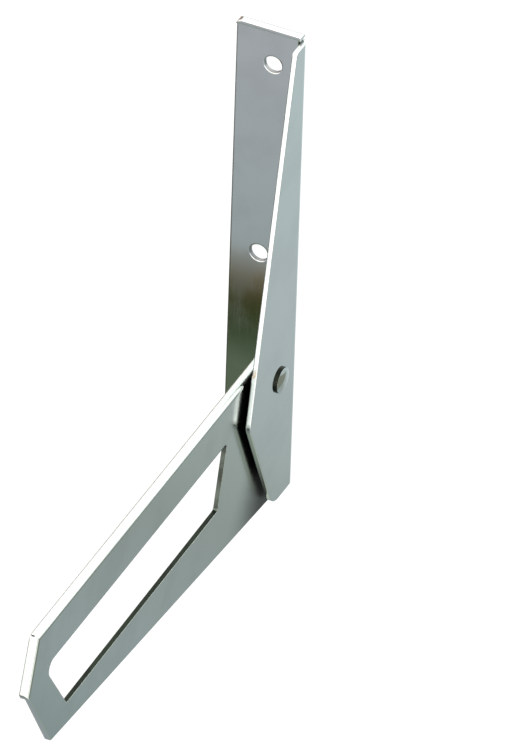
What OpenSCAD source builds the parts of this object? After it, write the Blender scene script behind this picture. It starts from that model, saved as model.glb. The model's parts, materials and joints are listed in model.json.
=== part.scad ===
// Folding roof bracket: an L-section wall plate with a tapered side flange, and a
// sheet-metal arm that swings up against the plate on one rivet.
//
// Frame: the origin is the axis of the lower screw hole, on the plate's back face.
// +Z is up, +Y points into the wall, and the arm reaches out along -Y.
// Most places are given in the bracket's own terms and turned into the frame once:
//   in  = distance from the flange's outer face towards the plate's free edge (-X)
//   out = distance from the wall (-Y)
//   up  = height above the plate's bottom edge (+Z)

/* [Sheet] */
// Thickness of the sheet that the plate and the arm are stamped from
sheet_t = 2.3; // [1.8:0.1:3]
// Inside radius of the bend between the wall plate and its side flange
bend_r = 2.5; // [1.5:0.1:4]

/* [Wall plate] */
// Height of the wall plate
plate_h = 252; // [220:1:320]
// Width of the wall plate, over the outside of the flange
plate_w = 35; // [32:0.5:45]
// Radius of the plate's free corners
plate_corner_r = 4; // [1:0.1:5]

/* [Side flange] */
// Height of the relief slot between the flange's top edge and the plate's top lip
relief_h = 0.9; // [0.3:0.1:2]
// Distance that the relief slot runs past the bend, into the flat of the plate
relief_past = 0.4; // [0:0.1:2]
// Distance from the wall to the flange's front edge, at its top
flange_top_out = 12.8; // [9:0.1:18]
// Distance from the wall to the flange's knee, where it is deepest
flange_knee_out = 50.6; // [40:0.1:60]
// Height of the flange's knee
flange_knee_up = 60.6; // [45:0.1:80]
// Distance from the wall to the flange's front edge, at its bottom
flange_toe_out = 23.2; // [16:0.1:34]
// Radius of the flange's top corner
flange_top_r = 2.5; // [1:0.1:4]
// Radius of the flange's toe
flange_toe_r = 10; // [2:0.5:12]
// Radius of the flange's knee
flange_knee_r = 8; // [2:0.5:12]

/* [Screw holes] */
// Diameter of both screw holes
screw_hole_d = 9; // [5:0.1:10]
// Distance of the upper screw hole below the plate's top edge
upper_hole_drop = 21.3; // [14:0.1:40]
// Distance of the upper screw hole from the flange's outer face
upper_hole_in = 16.4; // [13:0.1:20]
// Height of the lower screw hole
lower_hole_up = 123.3; // [100:0.1:160]
// Distance of the lower screw hole from the flange's outer face
lower_hole_in = 20.4; // [13:0.1:22]

/* [Pivot] */
// Distance of the pivot from the wall
pivot_out = 18.4; // [16:0.1:20]
// Height of the pivot
pivot_up = 68.7; // [60:0.1:85]
// Diameter of the rivet's shank
shank_d = 8; // [5:0.1:9]
// Diameter of the rivet's formed head
head_d = 12.7; // [11:0.1:16]
// Height of the rivet's formed head
head_h = 2.4; // [1.5:0.1:4]
// Diameter of the rivet's peened tail
tail_d = 11.6; // [11:0.1:14]
// Height of the rivet's peened tail
tail_h = 1.9; // [1:0.1:4]
// Height of the straight rim under the dome of the rivet's formed head
head_rim = 1.2; // [0.3:0.1:1.3]
// Height of the straight rim under the dome of the rivet's peened tail
tail_rim = 0.4; // [0.3:0.1:0.9]
// Radial clearance of the shank in every hole
shank_gap = 0.05; // [0.02:0.01:0.1]

/* [Pivot stack] */
// Outside diameter of the spacer collar
collar_d = 13; // [11:0.1:15]
// Length of the spacer collar
collar_l = 1.25; // [1:0.05:4]
// Outside diameter of the two friction washers
friction_d = 15; // [12:0.1:18]
// Thickness of each friction washer
friction_t = 0.5; // [0.3:0.1:1]
// Outside diameter of the backing washer
backing_d = 15; // [12:0.1:18]
// Thickness of the backing washer
backing_t = 1; // [0.6:0.1:2]
// Outside diameter of the spring washer
spring_d = 13.5; // [11:0.1:15]
// Thickness of the spring washer's own strip
spring_t = 0.7; // [0.4:0.1:1]
// Height of the spring washer's cone, as clamped
spring_cone = 0.4; // [0.2:0.1:0.8]
// Gap on each side of the arm's web, between the faces that slide
slide_gap = 0.05; // [0.02:0.01:0.2]

/* [Support arm] */
// Distance from the wall to the outer end of the arm's level top edge
arm_out = 263.2; // [200:0.1:320]
// How far the nose's tip lies beyond the end of the top edge
nose_run = 9.7; // [2:0.1:20]
// How far the nose's tip lies below the top edge
nose_drop = 27.6; // [15:0.1:45]
// How far the toe lies behind the end of the top edge
toe_back = 14.8; // [0:0.1:40]
// How far the toe lies below the top edge
toe_drop = 68.8; // [50:0.1:78]
// How far the heel lies below the top edge
heel_drop = 87.6; // [80:0.1:95]
// Gap between the arm's heel or top edge and the wall plate that it stops against
stop_gap = 0.3; // [0.2:0.05:1]
// Radius of the arm's toe
toe_r = 3.6; // [1:0.1:10]
// Radius of the arm's heel
heel_r = 4; // [1:0.1:10]
// Radius of the nose's two corners
nose_r = 1.2; // [0.5:0.1:3]

/* [Turned lips] */
// Distance from the flange's outer face to the end of the plate's lip
lip_end_in = 2; // [0:0.1:4]
// Width of the lips turned along the plate's top edge and the arm's top edge and nose,
// over the sheet that they are turned from
lip_w = 4.6; // [4:0.1:7]
// Outside radius of the lips' folds
fold_r = 2.2; // [0.5:0.1:2.3]
// Distance from the wall to the start of the arm's lip
lip_start_out = 28; // [27:0.5:40]
// Width of the slot between the arm's two lips, where they meet at the corner of the nose
mitre_gap = 1.2; // [0.3:0.1:2]

/* [Cut-out] */
// Depth of the upper bar, above the cut-out
upper_bar = 22.5; // [18:0.1:32]
// How far the cut-out's far upper corner lies behind the end of the top edge
cutout_end_back = 7.3; // [4:0.1:30]
// How far the cut-out's far side leans back from top to bottom
cutout_end_lean = 24.2; // [5:0.1:35]
// Distance from the wall to the cut-out's near upper corner
cutout_out = 65.3; // [60:0.1:100]
// How far the cut-out's near side leans out from top to bottom
cutout_lean = 8.3; // [0:0.1:15]
// Height of the cut-out at its near side
cutout_near_h = 33.2; // [22:0.1:36]
// Height of the cut-out at its far end
cutout_far_h = 35.5; // [26:0.1:40]
// Radius of the cut-out's near corners
cutout_near_r = 1.8; // [1:0.1:6]
// Radius of the cut-out's far upper corner
cutout_far_r = 5; // [1:0.1:8]

/* [Hidden] */
arc_steps = 10;       // straight steps in each rounded corner of an outline
round_fn = 96;        // steps of a full circle on bores, pins and washers
cut_past = 1;         // how far a cutting tool runs past the face that it cuts

bend_out_r = bend_r + sheet_t;
lip_up = plate_h - sheet_t;
flange_top_up = lip_up - relief_h;
upper_hole_up = plate_h - upper_hole_drop;
lip_end_r = sheet_t / 3;

// Pivot stack, measured in from the flange's outer face
flange_washer_in = sheet_t;
collar_in = flange_washer_in + friction_t;
web_washer_in = collar_in + collar_l;
web_in = web_washer_in + friction_t + slide_gap;
backing_in = web_in + sheet_t + slide_gap;
spring_in = backing_in + backing_t;
tail_in = spring_in + spring_t + spring_cone;
bore_d = shank_d + 2 * shank_gap;

// Arm outline
arm_end_r = pivot_out - sheet_t - stop_gap;
heel_out = sheet_t + stop_gap;
top_up = pivot_up + arm_end_r;
crown = [arm_out, top_up];
nose = [arm_out + nose_run, top_up - nose_drop];
toe = [arm_out - toe_back, top_up - toe_drop];
nose_slope = atan2(nose_drop, nose_run);
nose_len = norm([nose_run, nose_drop]);

// --- outlines -------------------------------------------------------------

function unit(v) = v / norm(v);

// Arc of radius r that rounds the corner at point b, between its neighbours a and c
function corner(a, b, c, r) =
    let (to_a = unit(a - b), to_c = unit(c - b),
         half = acos(to_a * to_c) / 2,
         centre = b + unit(to_a + to_c) * r / sin(half),
         first = b + to_a * r / tan(half) - centre,
         last = b + to_c * r / tan(half) - centre,
         from = atan2(first.y, first.x),
         turn = (atan2(last.y, last.x) - from + 540) % 360 - 180)
    [for (i = [0:arc_steps]) centre + r * [cos(from + turn * i / arc_steps),
                                           sin(from + turn * i / arc_steps)]];

// Outline through [x, y, corner radius] rows
function rounded(rows) =
    let (n = len(rows), p = [for (row = rows) [row.x, row.y]])
    [for (i = [0:n - 1])
        each rows[i].z == 0 ? [p[i]] : corner(p[(i + n - 1) % n], p[i], p[(i + 1) % n], rows[i].z)];

// --- placing --------------------------------------------------------------

// Turns [-in, -out, up] into the bracket's frame
module in_frame() {
    translate([lower_hole_in, 0, -lower_hole_up]) children();
}

// A sheet parallel to the flange, from its outline in [out, up]
module side_sheet(from_in, thickness) {
    translate([-from_in, 0, 0]) rotate([90, 0, -90]) linear_extrude(height = thickness) children();
}

// A round part on the pivot's axis, turned about Z and standing inwards from from_in
module on_pivot(from_in) {
    in_frame() translate([-from_in, -pivot_out, pivot_up]) rotate([0, -90, 0]) children();
}

// The hole for the rivet's shank, through the sheet that starts at from_in
module shank_hole(from_in) {
    translate([-from_in + cut_past, -pivot_out, pivot_up]) rotate([0, -90, 0])
        cylinder(d = bore_d, h = sheet_t + 2 * cut_past, $fn = round_fn);
}

module ring(outer_d, height) {
    difference() {
        cylinder(d = outer_d, h = height, $fn = round_fn);
        translate([0, 0, -cut_past])
            cylinder(d = bore_d, h = height + 2 * cut_past, $fn = round_fn);
    }
}

// What a fold's outside radius leaves out of a square edge that runs along Z, with the
// folded sheet's outer faces at X = 0 and Y = 0
module fold_waste(length) {
    translate([0, 0, -cut_past]) linear_extrude(height = length + 2 * cut_past)
        polygon(rounded([
            [-cut_past, -cut_past, 0],
            [fold_r + cut_past, -cut_past, 0],
            [fold_r + cut_past, 0, 0],
            [0, 0, fold_r],
            [0, fold_r + cut_past, 0],
            [-cut_past, fold_r + cut_past, 0]]));
}

// --- wall plate -----------------------------------------------------------

module strip_outline() {
    polygon(rounded([
        [-plate_w, 0, plate_corner_r],
        [-bend_out_r, 0, 0],
        [-bend_out_r, flange_top_up, 0],
        [-bend_out_r - relief_past, flange_top_up, 0],
        [-bend_out_r - relief_past, lip_up, 0],
        [-lip_end_in, lip_up, lip_end_r],
        [-lip_end_in, plate_h, lip_end_r],
        [-plate_w, plate_h, plate_corner_r]]));
}

// The flat of the plate, and the lip that is turned forward along its top edge
module strip() {
    difference() {
        rotate([90, 0, 0]) {
            linear_extrude(height = sheet_t) strip_outline();
            linear_extrude(height = lip_w) intersection() {
                strip_outline();
                translate([-plate_w, lip_up]) square([plate_w, sheet_t]);
            }
        }
        translate([-plate_w, 0, plate_h]) rotate([-90, 0, 0]) rotate([0, 90, 0])
            fold_waste(plate_w);
    }
}

module bend() {
    translate([-bend_out_r, -bend_out_r, 0]) intersection() {
        difference() {
            cylinder(r = bend_out_r, h = flange_top_up, $fn = round_fn);
            translate([0, 0, -cut_past])
                cylinder(r = bend_r, h = flange_top_up + 2 * cut_past, $fn = round_fn);
        }
        cube([bend_out_r, bend_out_r, flange_top_up]);
    }
}

module flange() {
    side_sheet(0, sheet_t)
        polygon(rounded([
            [bend_out_r, 0, 0],
            [flange_toe_out, 0, flange_toe_r],
            [flange_knee_out, flange_knee_up, flange_knee_r],
            [flange_top_out, flange_top_up, min(flange_top_r, (flange_top_out - bend_out_r) / 2)],
            [bend_out_r, flange_top_up, 0]]));
}

module screw_hole(hole_in, hole_up) {
    translate([-hole_in, cut_past, hole_up]) rotate([90, 0, 0])
        cylinder(d = screw_hole_d, h = sheet_t + 2 * cut_past, $fn = round_fn);
}

module wall_plate() {
    color("lightsteelblue") in_frame() difference() {
        union() {
            strip();
            bend();
            flange();
        }
        screw_hole(upper_hole_in, upper_hole_up);
        screw_hole(lower_hole_in, lower_hole_up);
        shank_hole(0);
    }
}

// --- support arm ----------------------------------------------------------

// The whole outline of the arm. Its rear upper corner is an arc about the pivot, which
// passes the wall plate with the stop's gap as the arm swings.
module arm_outline() {
    polygon(rounded([
        [heel_out, top_up, arm_end_r],
        [heel_out, top_up - heel_drop, heel_r],
        [toe.x, toe.y, toe_r],
        [nose.x, nose.y, nose_r],
        [crown.x, crown.y, nose_r]]));
}

// The long window between the upper bar, the lower bar and the end bar
module cutout() {
    top = top_up - upper_bar;
    end_out = arm_out - cutout_end_back;
    polygon(rounded([
        [cutout_out, top, cutout_near_r],
        [cutout_out + cutout_lean, top - cutout_near_h, cutout_near_r],
        [end_out - cutout_end_lean, top - cutout_far_h, cutout_near_r],
        [end_out, top, cutout_far_r]]));
}

// Puts X along in, Y down into the arm and Z along the lipped edge that starts at p and
// falls away from level by slope
module on_edge(p, slope) {
    translate([-web_in, -p.x, p.y]) rotate([slope, 0, 0]) rotate([90, 180, 0]) children();
}

// The lips that stand behind the web, along the top edge and down the nose, with a slot
// between them on the line that halves their corner
module arm_lips() {
    side_sheet(web_in + sheet_t, lip_w - sheet_t) difference() {
        intersection() {
            arm_outline();
            union() {
                translate([lip_start_out, top_up - sheet_t]) square([arm_out, sheet_t]);
                translate(crown) rotate(-nose_slope) translate([0, -sheet_t])
                    square([nose_len + 2 * sheet_t, sheet_t]);
            }
        }
        translate(crown) rotate(180 + (180 - nose_slope) / 2)
            translate([-cut_past, -mitre_gap / 2]) square([3 * sheet_t, mitre_gap]);
    }
}

module support_arm() {
    color("silver") in_frame() difference() {
        union() {
            side_sheet(web_in, sheet_t) difference() {
                arm_outline();
                cutout();
            }
            arm_lips();
        }
        on_edge([lip_start_out + cut_past, top_up], 0) fold_waste(arm_out - lip_start_out);
        on_edge(crown, nose_slope) fold_waste(nose_len);
        shank_hole(web_in);
    }
}

// --- pivot ----------------------------------------------------------------

// A low dome on a short rim, from its flat underside
module domed_head(d, h, rim) {
    dome_h = h - rim;
    dome_r = (pow(d / 2, 2) + pow(dome_h, 2)) / (2 * dome_h);
    cylinder(d = d, h = rim, $fn = round_fn);
    intersection() {
        translate([0, 0, h - dome_r]) sphere(r = dome_r, $fn = round_fn);
        translate([0, 0, rim]) cylinder(d = d, h = dome_h, $fn = round_fn);
    }
}

// A shank with a low domed head on the flange and a flatter peened tail behind the arm
module pivot_rivet() {
    color("gainsboro") on_pivot(0) {
        mirror([0, 0, 1]) domed_head(head_d, head_h, head_rim);
        cylinder(d = shank_d, h = tail_in, $fn = round_fn);
        translate([0, 0, tail_in]) domed_head(tail_d, tail_h, tail_rim);
    }
}

module flange_washer() { color("darkgoldenrod") on_pivot(flange_washer_in) ring(friction_d, friction_t); }

module spacer_collar() { color("gray") on_pivot(collar_in) ring(collar_d, collar_l); }

module web_washer() { color("darkgoldenrod") on_pivot(web_washer_in) ring(friction_d, friction_t); }

module backing_washer() { color("lightgray") on_pivot(backing_in) ring(backing_d, backing_t); }

// A coned washer whose outer edge bears on the backing washer and inner edge on the tail
module spring_washer() {
    color("dimgray") on_pivot(spring_in) rotate_extrude($fn = round_fn)
        polygon([
            [spring_d / 2, 0],
            [spring_d / 2, spring_t],
            [bore_d / 2, spring_t + spring_cone],
            [bore_d / 2, spring_cone]]);
}

wall_plate();
support_arm();
pivot_rivet();
flange_washer();
spacer_collar();
web_washer();
backing_washer();
spring_washer();
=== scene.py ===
"""Looks of the folding roof bracket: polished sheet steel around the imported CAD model."""
import json
import math

import bpy
from mathutils import Matrix, Quaternion, Vector

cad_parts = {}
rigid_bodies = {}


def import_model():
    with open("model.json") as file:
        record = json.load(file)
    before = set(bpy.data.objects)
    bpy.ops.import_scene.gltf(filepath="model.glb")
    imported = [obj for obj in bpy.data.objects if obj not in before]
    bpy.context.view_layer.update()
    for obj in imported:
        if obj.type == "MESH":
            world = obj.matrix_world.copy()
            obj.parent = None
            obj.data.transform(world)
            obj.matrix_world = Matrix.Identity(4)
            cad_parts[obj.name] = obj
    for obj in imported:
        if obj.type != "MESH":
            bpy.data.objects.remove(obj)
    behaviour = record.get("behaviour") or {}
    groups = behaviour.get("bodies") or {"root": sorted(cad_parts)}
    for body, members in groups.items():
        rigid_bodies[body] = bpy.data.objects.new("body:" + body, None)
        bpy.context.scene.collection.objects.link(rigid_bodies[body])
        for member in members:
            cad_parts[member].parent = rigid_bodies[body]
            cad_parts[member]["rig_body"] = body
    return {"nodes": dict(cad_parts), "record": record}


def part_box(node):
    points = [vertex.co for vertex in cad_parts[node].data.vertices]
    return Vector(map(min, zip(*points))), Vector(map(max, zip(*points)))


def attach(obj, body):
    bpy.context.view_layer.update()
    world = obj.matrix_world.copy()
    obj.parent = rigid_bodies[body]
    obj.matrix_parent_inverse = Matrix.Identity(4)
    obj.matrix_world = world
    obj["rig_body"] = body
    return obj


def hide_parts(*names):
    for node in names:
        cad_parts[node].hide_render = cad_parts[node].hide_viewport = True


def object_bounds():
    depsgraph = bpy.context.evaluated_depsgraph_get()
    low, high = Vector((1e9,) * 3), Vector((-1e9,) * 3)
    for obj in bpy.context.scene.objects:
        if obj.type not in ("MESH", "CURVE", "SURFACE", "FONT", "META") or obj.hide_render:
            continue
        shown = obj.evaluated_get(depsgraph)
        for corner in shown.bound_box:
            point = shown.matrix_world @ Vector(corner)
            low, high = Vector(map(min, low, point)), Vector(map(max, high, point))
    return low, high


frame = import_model()
cad_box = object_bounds()

MM = 0.001

# --- camera: the photograph's viewing angle ---------------------------------

CAMERA_AZIMUTH = 24.26     # degrees round from -Y towards +X
CAMERA_ELEVATION = 36.68
CAMERA_ROLL = 1.95         # clockwise as seen in the picture
CAMERA_DISTANCE = 11.0     # a long lens, far away
VIEW_HEIGHT = 0.3444       # height of the view at the target
AIM_RIGHT = -0.0164        # from the plate's bottom corner to the picture's centre
AIM_UP = 0.0475


def make_camera():
    azimuth, elevation, roll = (
        math.radians(v) for v in (CAMERA_AZIMUTH, CAMERA_ELEVATION, CAMERA_ROLL)
    )
    back = Vector((
        math.sin(azimuth) * math.cos(elevation),
        -math.cos(azimuth) * math.cos(elevation),
        math.sin(elevation),
    ))
    level = Vector((math.cos(azimuth), math.sin(azimuth), 0))
    upright = back.cross(level)
    right = math.cos(roll) * level + math.sin(roll) * upright
    up = back.cross(right)
    low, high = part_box("wall_plate")
    corner = Vector((high.x, high.y, low.z))
    target = corner + AIM_RIGHT * right + AIM_UP * up
    data = bpy.data.cameras.new("camera")
    data.sensor_width = 36
    data.lens = data.sensor_width * CAMERA_DISTANCE / VIEW_HEIGHT
    data.clip_start = 1
    data.clip_end = 2 * CAMERA_DISTANCE
    camera = bpy.data.objects.new("camera", data)
    bpy.context.scene.collection.objects.link(camera)
    camera.matrix_world = Matrix.Translation(target + CAMERA_DISTANCE * back) @ Matrix(
        (right, up, back)
    ).transposed().to_4x4()
    bpy.context.scene.camera = camera


# --- material building blocks ------------------------------------------------


def new_material(name):
    material = bpy.data.materials.new(name)
    material.use_nodes = True
    material.node_tree.nodes.clear()
    return material


def feed(tree, socket, value):
    """Sets a socket to a value, or links it where the value is another node's output."""
    if isinstance(value, bpy.types.NodeSocket):
        tree.links.new(value, socket)
    else:
        socket.default_value = value


def add(tree, kind, **sockets):
    """A node with some of its properties (lower case) and sockets (upper case) set."""
    node = tree.nodes.new(kind)
    for name, value in sockets.items():
        if name[0].islower():
            setattr(node, name, value)
        else:
            feed(tree, node.inputs[name.replace("_", " ")], value)
    return node


def maths(tree, operation, first, second=0.0, clamp=False):
    node = tree.nodes.new("ShaderNodeMath")
    node.operation = operation
    node.use_clamp = clamp
    for socket, value in zip(node.inputs, (first, second)):
        feed(tree, socket, value)
    return node.outputs[0]


def ramp(tree, value, low, high, from_value=0.0, to_value=1.0):
    """Goes smoothly from one value to another as the input passes from low to high."""
    node = add(tree, "ShaderNodeMapRange", interpolation_type="SMOOTHSTEP", Value=value)
    node.inputs["From Min"].default_value = low
    node.inputs["From Max"].default_value = high
    node.inputs["To Min"].default_value = from_value
    node.inputs["To Max"].default_value = to_value
    return node.outputs["Result"]


# the mix node's sockets for colours, which share their names with those for numbers
MIX_SHARE, MIX_FIRST, MIX_SECOND = 0, 6, 7
MIX_RESULT = 2


def mix_colour(tree, share, first, second):
    node = tree.nodes.new("ShaderNodeMix")
    node.data_type = "RGBA"
    feed(tree, node.inputs[MIX_SHARE], share)
    for place, colour in ((MIX_FIRST, first), (MIX_SECOND, second)):
        plain = not isinstance(colour, bpy.types.NodeSocket)
        feed(tree, node.inputs[place], (*colour, 1) if plain else colour)
    return node.outputs[MIX_RESULT]


def noise(tree, scale, detail=2.0, roughness=0.5, stretch=(1, 1, 1)):
    """Noise in the object's own frame, which a moving piece carries with it."""
    place = add(tree, "ShaderNodeTexCoord").outputs["Object"]
    mapping = add(tree, "ShaderNodeMapping", Vector=place, Scale=stretch)
    texture = add(tree, "ShaderNodeTexNoise", Vector=mapping.outputs[0], Scale=scale,
                  Detail=detail, Roughness=roughness)
    return texture.outputs["Fac"]


def polished_steel(name, tone, roughness, rounding, shade_mask=None):
    """Mirror-polished sheet: slow waves in the sheet, fine rubbing marks, faint smudges.
    rounding is the radius that its edges and faceted bends seem to have, and shade_mask(tree)
    gives the mask of the part painted near-black as shade in and beside the joint's gap."""
    material = new_material(name)
    tree = material.node_tree
    smudge = ramp(tree, noise(tree, 38, 4), 0.42, 0.68)
    colour = mix_colour(tree, smudge, tone, tuple(0.93 * c for c in tone))
    scratches = noise(tree, 60, 6, 0.7, (25, 25, 1))
    rough = maths(tree, "ADD", ramp(tree, smudge, 0, 1, roughness, roughness + 0.04),
                  ramp(tree, scratches, 0.5, 0.8, 0, 0.05))
    rounded = add(tree, "ShaderNodeBevel", samples=8, Radius=rounding)
    waves = add(tree, "ShaderNodeBump", Strength=0.16, Distance=0.0006,
                Height=noise(tree, 22, 1), Normal=rounded.outputs[0])
    marks = add(tree, "ShaderNodeBump", Strength=0.02, Distance=0.00005, Height=scratches,
                Normal=waves.outputs[0])
    # painted shade: where the mask is, the colour turns near-black and the surface rougher
    if shade_mask:
        mask = shade_mask(tree)
        colour = mix_colour(tree, mask, colour, PAINTED_GAP_SHADE)
        rough = maths(tree, "ADD", rough, maths(tree, "MULTIPLY", mask, 0.3))
    shader = add(tree, "ShaderNodeBsdfPrincipled", Metallic=1.0, Base_Color=colour,
                 Roughness=rough, Normal=marks.outputs[0])
    add(tree, "ShaderNodeOutputMaterial", Surface=shader.outputs[0])
    return material


def dull_wall_or_shade(name, tone):
    """Dull wall with the punch's fine streaks across the sheet. For the punched holes its tone is
    the sheared wall's own; the near-black tones given to the cut-out's and mitre slot's walls are
    painted shade, and that of the rivet's rim a painted dark reflection.
    """
    material = new_material(name)
    tree = material.node_tree
    streaks = noise(tree, 500, 3, 0.6)
    patches = noise(tree, 90, 2)
    colour = mix_colour(tree, ramp(tree, patches, 0.4, 0.65), tone, tuple(0.45 * c for c in tone))
    bump = add(tree, "ShaderNodeBump", Strength=0.3, Distance=0.00005, Height=streaks)
    shader = add(tree, "ShaderNodeBsdfPrincipled", Metallic=1.0, Base_Color=colour,
                 Roughness=0.42, Normal=bump.outputs[0])
    add(tree, "ShaderNodeOutputMaterial", Surface=shader.outputs[0])
    return material


def plain_metal(name, tone, roughness, grain):
    """Small turned or stamped hardware with a fine grain."""
    material = new_material(name)
    tree = material.node_tree
    grains = noise(tree, grain, 5, 0.6, (1, 8, 8))
    colour = mix_colour(tree, ramp(tree, grains, 0.35, 0.7), tone, tuple(0.8 * c for c in tone))
    bump = add(tree, "ShaderNodeBump", Strength=0.15, Distance=0.00004, Height=grains)
    shader = add(tree, "ShaderNodeBsdfPrincipled", Metallic=1.0, Base_Color=colour,
                 Roughness=ramp(tree, grains, 0.3, 0.7, roughness, roughness + 0.1),
                 Normal=bump.outputs[0])
    add(tree, "ShaderNodeOutputMaterial", Surface=shader.outputs[0])
    return material


# --- standing in for CAD nodes ---------------------------------------------------


def copy_of(node):
    """A copy of a CAD node's mesh, to be painted face by face."""
    mesh = frame["nodes"][node].data.copy()
    mesh.name = node + "_finish"
    mesh.materials.clear()
    piece = bpy.data.objects.new(mesh.name, mesh)
    bpy.context.scene.collection.objects.link(piece)
    return piece


def stand_for(piece, node):
    """piece is shown in place of a CAD node, and moves with that node's body."""
    body = frame["nodes"][node]["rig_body"]
    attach(piece, body)
    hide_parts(node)


# --- dressing the pieces --------------------------------------------------------

PLATE_STEEL = (0.50, 0.525, 0.515)
ARM_STEEL = (0.43, 0.455, 0.43)
# painted shade: tones of the cut-out's sheared walls, near-black above and below and dark at its
# ends
CUTOUT_UPPER_LOWER_SHADE = (0.010, 0.016, 0.009)
CUTOUT_END_SHADE = (0.09, 0.105, 0.09)
NOSE_RUN = 9.7 * MM        # how far the arm's nose lies beyond the end of its top edge
# painted shade on the walls of the mitre slot at the arm's nose
MITRE_SLOT_SHADE = (0.02, 0.008, 0.005)
# painted dark reflection on the rivet head's rim
RIVET_RIM_PAINTED_REFLECTION = (0.020, 0.023, 0.017)
# painted shade in the gap between the flange and the arm's web
PAINTED_GAP_SHADE = (0.012, 0.012, 0.012)
GAP_SHADE_TOP = -28 * MM      # the painted shade lies below this height on the flange
HEEL_SHADE_MIDDLE = (-16.5 * MM, -125.8 * MM)   # y and z of the middle of the painted shade on the heel
HOLE_WALL = (0.30, 0.31, 0.31)
CUTOUT_MARGIN = 13 * MM    # the cut-out's slanted ends lie this far past its opening's box
CUTOUT_BELOW = 3.5 * MM    # its lower edge, past the box
CUTOUT_ABOVE = 2 * MM      # its upper edge, past the box
WEB_DEPTH = 2.4 * MM       # the mitre's walls lie beyond the web, which takes up this much
MITRE_REACH = 3 * MM       # along the arm, either side of the crown
MITRE_DEPTH = 4 * MM       # below the arm's top


def mount(name):
    return next(m for m in frame["record"]["mounts"] if m["name"] == name)


def paint_faces(piece, index, test):
    for polygon in piece.data.polygons:
        if test(polygon.center, polygon.normal):
            polygon.material_index = index


def flange_gap_shade(tree):
    """Mask of painted shade on the flange's inner face around the joint, in the gap beside the arm,
    with a ragged upper end.
    """
    place = add(tree, "ShaderNodeTexCoord")
    normal = add(tree, "ShaderNodeSeparateXYZ", Vector=place.outputs["Normal"]).outputs
    spot = add(tree, "ShaderNodeSeparateXYZ", Vector=place.outputs["Object"]).outputs
    ragged = maths(tree, "ADD", spot["Z"], maths(tree, "MULTIPLY", noise(tree, 120, 3), 8 * MM))
    inward = ramp(tree, normal["X"], -0.9, -0.6, 1, 0)
    below = ramp(tree, ragged, GAP_SHADE_TOP, GAP_SHADE_TOP + 12 * MM, 1, 0)
    on_flange = ramp(tree, spot["X"], 17 * MM, 17.5 * MM)
    return maths(tree, "MULTIPLY", maths(tree, "MULTIPLY", inward, below), on_flange)


def dress_plate():
    piece = copy_of("wall_plate")
    piece.data.materials.append(polished_steel("polished_plate", PLATE_STEEL, 0.05, 1 * MM,
                                               flange_gap_shade))
    piece.data.materials.append(dull_wall_or_shade("punched_hole", HOLE_WALL))
    for name in ("lower_screw_hole", "upper_screw_hole"):
        hole = mount(name)
        x, _, z = hole["pos_m"]
        reach = hole["dims"]["r_mm"] * MM + 0.1 * MM
        paint_faces(piece, 1, lambda centre, normal: math.hypot(centre.x - x, centre.z - z) < reach)
    stand_for(piece, "wall_plate")


def heel_gap_shade(tree):
    """Mask of painted shade on the arm's web round its heel, where the gap beside the flange ends,
    fading out along the web.
    """
    place = add(tree, "ShaderNodeTexCoord").outputs["Object"]
    spot = add(tree, "ShaderNodeSeparateXYZ", Vector=place).outputs
    flat = add(tree, "ShaderNodeCombineXYZ", Y=spot["Y"], Z=spot["Z"]).outputs[0]
    away = add(tree, "ShaderNodeVectorMath", operation="DISTANCE")
    tree.links.new(flat, away.inputs[0])
    away.inputs[1].default_value = (0, *HEEL_SHADE_MIDDLE)
    return ramp(tree, away.outputs["Value"], 8 * MM, 48 * MM, 0.92, 0)


def dress_arm():
    piece = copy_of("support_arm")
    piece.data.materials.append(polished_steel("polished_arm", ARM_STEEL, 0.14, 1.1 * MM,
                                               heel_gap_shade))
    piece.data.materials.append(dull_wall_or_shade("cutout_upper_lower_shade", CUTOUT_UPPER_LOWER_SHADE))
    piece.data.materials.append(dull_wall_or_shade("cutout_end_shade", CUTOUT_END_SHADE))
    piece.data.materials.append(dull_wall_or_shade("mitre_slot_shade", MITRE_SLOT_SHADE))
    openings = frame["record"]["physics"]["openings"]
    for opening in openings[:2]:
        low, high = (Vector(corner) for corner in opening["box_m"])

        def in_cutout(centre, normal):
            return (abs(normal.x) < 0.7
                    and low.y - CUTOUT_MARGIN < centre.y < high.y + CUTOUT_MARGIN
                    and low.z - CUTOUT_BELOW < centre.z < high.z + CUTOUT_ABOVE)

        # painted shade: the cut-out's walls get these dark tones, not the punched holes' grey
        paint_faces(piece, 1, in_cutout)
        paint_faces(piece, 2, lambda centre, normal: (
            in_cutout(centre, normal) and abs(normal.y) > 0.6))
    low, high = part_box("support_arm")
    crown_y = low.y + NOSE_RUN
    # painted shade: the mitre slot's walls are near-black
    paint_faces(piece, 3, lambda centre, normal: (
        abs(normal.x) < 0.1 and centre.x < high.x - WEB_DEPTH and normal.y * normal.z > 0.2
        and abs(centre.y - crown_y) < MITRE_REACH and high.z - centre.z < MITRE_DEPTH))
    stand_for(piece, "support_arm")


def dress(node, material):
    piece = frame["nodes"][node]
    piece.data.materials.clear()
    piece.data.materials.append(material)


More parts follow.
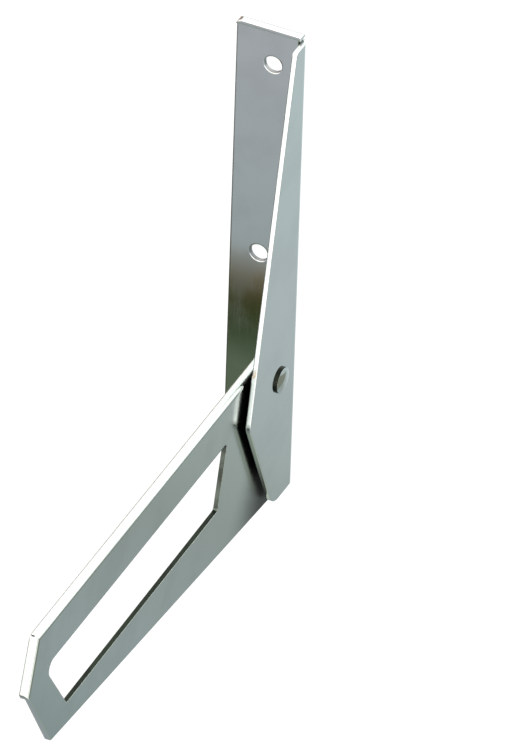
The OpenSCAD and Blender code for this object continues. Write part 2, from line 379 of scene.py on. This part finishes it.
def dress_pivot():
    brass = plain_metal("rolled_bronze", (0.62, 0.45, 0.18), 0.3, 900)
    rivet = copy_of("pivot_rivet")
    rivet.data.shade_smooth()
    rivet.data.set_sharp_from_angle(angle=math.radians(30))
    rivet.data.materials.append(polished_steel("polished_rivet", PLATE_STEEL, 0.12, 0.15 * MM))
    # the rivet head's rim carries a painted dark reflection
    rivet.data.materials.append(dull_wall_or_shade("rivet_rim_painted_reflection", RIVET_RIM_PAINTED_REFLECTION))
    paint_faces(rivet, 1, lambda centre, normal: abs(normal.x) < 0.1)
    stand_for(rivet, "pivot_rivet")
    dress("flange_washer", brass)
    dress("web_washer", brass)
    for node, slot, name, tone, roughness, grain in (
        ("spacer_collar", "collar_steel", "turned_collar", (0.40, 0.40, 0.39), 0.32, 1100),
        ("backing_washer", "washer_steel", "stamped_washer", (0.58, 0.59, 0.60), 0.28, 700),
        ("spring_washer", "spring_steel", "spring_strip", (0.16, 0.15, 0.15), 0.38, 800),
    ):
        dress(node, plain_metal(name, tone, roughness, grain))


# --- stage: what the polished metal reflects ---------------------------------

FLOOR_DROP = 0.30          # the floor lies this far below the part


def stage_plane(name, centre, size, normal, material):
    x, y = size[0] / 2, size[1] / 2
    mesh = bpy.data.meshes.new(name)
    mesh.from_pydata([(-x, -y, 0), (x, -y, 0), (x, y, 0), (-x, y, 0)], [], [(0, 1, 2, 3)])
    plane = bpy.data.objects.new(name, mesh)
    bpy.context.scene.collection.objects.link(plane)
    plane.rotation_mode = "QUATERNION"
    plane.rotation_quaternion = Vector(normal).to_track_quat("Z", "Y")
    plane.location = centre
    mesh.materials.append(material)
    return plane


def glow(name, colour, strength=1.0):
    material = new_material(name)
    tree = material.node_tree
    light = add(tree, "ShaderNodeEmission", Color=(*colour, 1), Strength=strength)
    add(tree, "ShaderNodeOutputMaterial", Surface=light.outputs[0])
    return material


def card(name, centre, size, normal, colour, strength=1.0):
    """A coloured card that only the polished metal sees."""
    plane = stage_plane(name, centre, size, normal, glow(name, colour, strength))
    plane.visible_camera = False
    plane.visible_diffuse = False
    plane.visible_shadow = False
    plane.visible_transmission = False
    return plane


# y on the floor, and the colour that polished metal sees there
FLOOR_TONES = (
    (-0.700, (0.700, 0.715, 0.765)),
    (-0.535, (0.580, 0.650, 0.680)),
    (-0.515, (0.330, 0.270, 0.180)),
    (-0.495, (0.075, 0.070, 0.020)),
    (-0.469, (0.060, 0.095, 0.040)),
    (-0.448, (0.175, 0.230, 0.150)),
    (-0.330, (0.180, 0.240, 0.150)),
    (-0.300, (0.500, 0.560, 0.620)),
    (-0.150, (0.520, 0.570, 0.620)),
    (-0.100, (0.720, 0.800, 0.700)),
    (0.020, (0.720, 0.800, 0.700)),
    (0.100, (0.400, 0.500, 0.500)),
    (0.200, (0.540, 0.630, 0.650)),
    (0.320, (0.500, 0.570, 0.560)),
    (0.370, (0.580, 0.660, 0.650)),
    (0.450, (0.670, 0.750, 0.770)),
    (0.650, (0.750, 0.860, 0.880)),
)


def floor_material():
    """Pale floor that the camera sees as white, with the part's soft shadow on it."""
    material = new_material("floor")
    tree = material.node_tree
    ray = add(tree, "ShaderNodeLightPath")
    surface = add(tree, "ShaderNodeBsdfDiffuse", Color=(0.9, 0.9, 0.9, 1))
    white = add(tree, "ShaderNodeEmission", Color=(1, 1, 1, 1), Strength=0.35)
    both = add(tree, "ShaderNodeAddShader")
    tree.links.new(surface.outputs[0], both.inputs[0])
    tree.links.new(white.outputs[0], both.inputs[1])
    place = add(tree, "ShaderNodeNewGeometry").outputs["Position"]
    y = add(tree, "ShaderNodeSeparateXYZ", Vector=place).outputs["Y"]
    low, high = FLOOR_TONES[0][0], FLOOR_TONES[-1][0]
    tones = add(tree, "ShaderNodeValToRGB",
                Fac=maths(tree, "DIVIDE", maths(tree, "SUBTRACT", y, low), high - low, True))
    stops = tones.color_ramp.elements
    for i, (stop, colour) in enumerate(FLOOR_TONES):
        share = (stop - low) / (high - low)
        element = stops[i] if i < 2 else stops.new(share)
        element.position = share
        element.color = (*colour, 1)
    seen = add(tree, "ShaderNodeEmission", Color=tones.outputs["Color"], Strength=1.0)
    mix = add(tree, "ShaderNodeMixShader", Fac=ray.outputs["Is Glossy Ray"])
    tree.links.new(both.outputs[0], mix.inputs[1])
    tree.links.new(seen.outputs[0], mix.inputs[2])
    add(tree, "ShaderNodeOutputMaterial", Surface=mix.outputs[0])
    return material


SKY = 2.6                  # brightness that polished metal sees overhead
CARD_LIFT = 0.002          # floor cards lie this far above the floor
TAN = (0.62, 0.46, 0.37)
LEFT_MAT_TURN = 44         # degrees, so that the strip runs away behind the part to its left


def make_stage():
    floor_z = cad_box[0].z - FLOOR_DROP
    stage_plane("floor", (0, 0, floor_z), (12, 12), (0, 0, 1), floor_material())
    z = floor_z + CARD_LIFT
    card("right_mat", (1.7, 0.30, z), (2.64, 0.9), (0, 0, 1), (0.36, 0.39, 0.31))
    card("right_glow", (1.1, -0.65, z), (1.7, 0.9), (0, 0, 1), (1, 0.99, 0.95), 2)
    card("left_dark", (-0.8, -0.08, z), (0.9, 0.6), (0, 0, 1), (0.06, 0.05, 0.03))
    left = card("left_mat", (-1.26, 1.34, z), (0.45, 2.9), (0, 0, 1), TAN)
    left.rotation_quaternion = Quaternion((0, 0, 1), math.radians(LEFT_MAT_TURN))
    card("rear_left_card", (-1.9, 2.2, 0.4), (0.8, 1.5), (0, -1, 0), TAN)
    card("rear_card", (-0.8, 2.2, -0.05), (1.1, 0.5), (0, -1, 0), (0.10, 0.11, 0.13))
    card("low_left_panel", (-0.6, -1.2, -0.05), (1.3, 0.74), (0, 1, 0), (1, 0.99, 0.95), SKY)
    card("low_right_panel", (0.7, -1.2, -0.05), (1.3, 0.74), (0, 1, 0), (1, 1, 1), 3.6)
    card("warm_panel", (-0.7, -2.0, 0.55), (3, 0.96), (0, 1, 0), (1, 0.68, 0.48), 3)
    card("front_panel", (-0.66, -1.46, 1.3), (1.4, 1.2), (0.4, 0.8, -0.6), (1, 1, 1), 2 * SKY)


def make_world():
    """White all round; polished metal sees it brighter overhead and to the right rear."""
    world = bpy.data.worlds.new("studio")
    bpy.context.scene.world = world
    world.use_nodes = True
    tree = world.node_tree
    tree.nodes.clear()
    ray = add(tree, "ShaderNodeLightPath")
    toward = add(tree, "ShaderNodeTexCoord").outputs["Generated"]
    toward = add(tree, "ShaderNodeSeparateXYZ", Vector=toward).outputs
    overhead = ramp(tree, toward["Z"], 0.12, 0.2)
    rear = maths(tree, "MULTIPLY", ramp(tree, toward["X"], 0.35, 0.45),
                 ramp(tree, toward["Y"], 0.35, 0.45))
    bright = maths(tree, "MULTIPLY", ray.outputs["Is Glossy Ray"],
                   maths(tree, "MAXIMUM", overhead, rear))
    plain = maths(tree, "MAXIMUM", ray.outputs["Is Camera Ray"], ray.outputs["Is Glossy Ray"])
    strength = maths(tree, "ADD", ramp(tree, plain, 0, 1, 0.75, 1.0),
                     maths(tree, "MULTIPLY", bright, SKY - 1))
    background = add(tree, "ShaderNodeBackground", Color=(1, 1, 1, 1), Strength=strength)
    add(tree, "ShaderNodeOutputWorld", Surface=background.outputs[0])


def make_lamp(name, place, aim, size, power):
    data = bpy.data.lights.new(name, "AREA")
    data.shape = "SQUARE"
    data.size = size
    data.energy = power
    lamp = bpy.data.objects.new(name, data)
    bpy.context.scene.collection.objects.link(lamp)
    lamp.location = place
    lamp.rotation_mode = "QUATERNION"
    lamp.rotation_quaternion = (Vector(aim) - Vector(place)).to_track_quat("-Z", "Y")


make_camera()
make_world()
make_stage()
make_lamp("key", (0.9, -0.9, 1.4), (0, -0.1, 0), 0.9, 6)
dress_plate()
dress_arm()
dress_pivot()

bpy.context.scene.view_settings.view_transform = "Standard"
